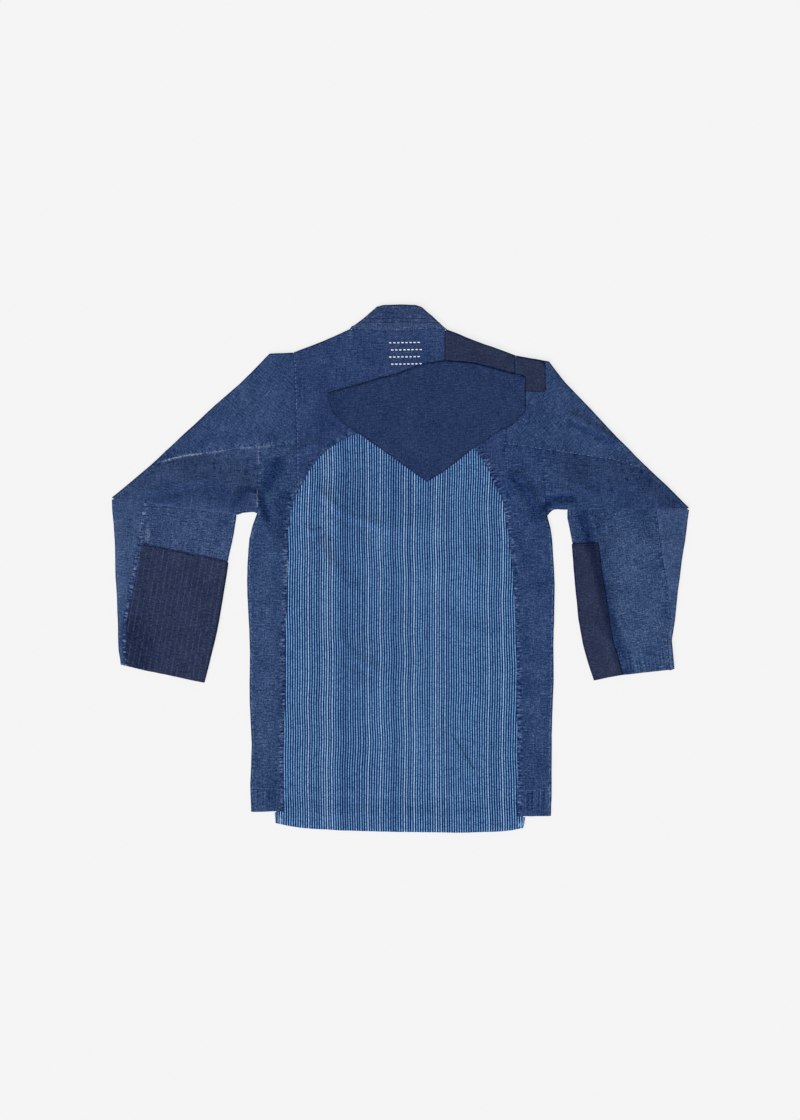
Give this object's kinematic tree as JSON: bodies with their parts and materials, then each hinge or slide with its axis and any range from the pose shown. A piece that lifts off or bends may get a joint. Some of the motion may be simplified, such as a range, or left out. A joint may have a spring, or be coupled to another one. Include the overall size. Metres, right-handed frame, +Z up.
{
  "type": "patched boro jacket",
  "caption": "Indigo work jacket pieced from old cloths, lying flat on its front with its back up and its sleeves bent down.",
  "frame": {"origin": "on the table under the middle of the jacket's box", "axes": "+X to the wearer's right, across the sleeves; +Y towards the collar; +Z up from the table"},
  "size_m": [0.8948, 0.8188, 0.0103],
  "materials": {
    "mid_indigo": "matte",
    "side_indigo": "matte",
    "worn_indigo": "matte",
    "kasuri_stripe": "matte",
    "yoke_indigo": "matte",
    "dark_navy": "matte"
  },
  "bodies": {
    "root": {"back_stripe_panel": "kasuri_stripe", "back_upper": "mid_indigo", "collar_back": "worn_indigo", "cuff_patch_left": "dark_navy", "cuff_patch_right": "dark_navy", "elbow_tuck_left": "mid_indigo", "elbow_tuck_right": "mid_indigo", "forearm_inner_left": "mid_indigo", "forearm_inner_right": "mid_indigo", "forearm_outer_left": "worn_indigo", "forearm_outer_right": "worn_indigo", "front_band_left": "mid_indigo", "front_band_right": "mid_indigo", "front_left": "mid_indigo", "front_right": "mid_indigo", "shoulder_patch": "dark_navy", "side_panel_left": "side_indigo", "side_panel_right": "side_indigo", "sleeve_head_patch": "dark_navy", "top_sleeve_left": "mid_indigo", "top_sleeve_right": "mid_indigo", "under_sleeve_left": "mid_indigo", "under_sleeve_right": "mid_indigo", "yoke_patch": "yoke_indigo"}
  },
  "joints": []
}
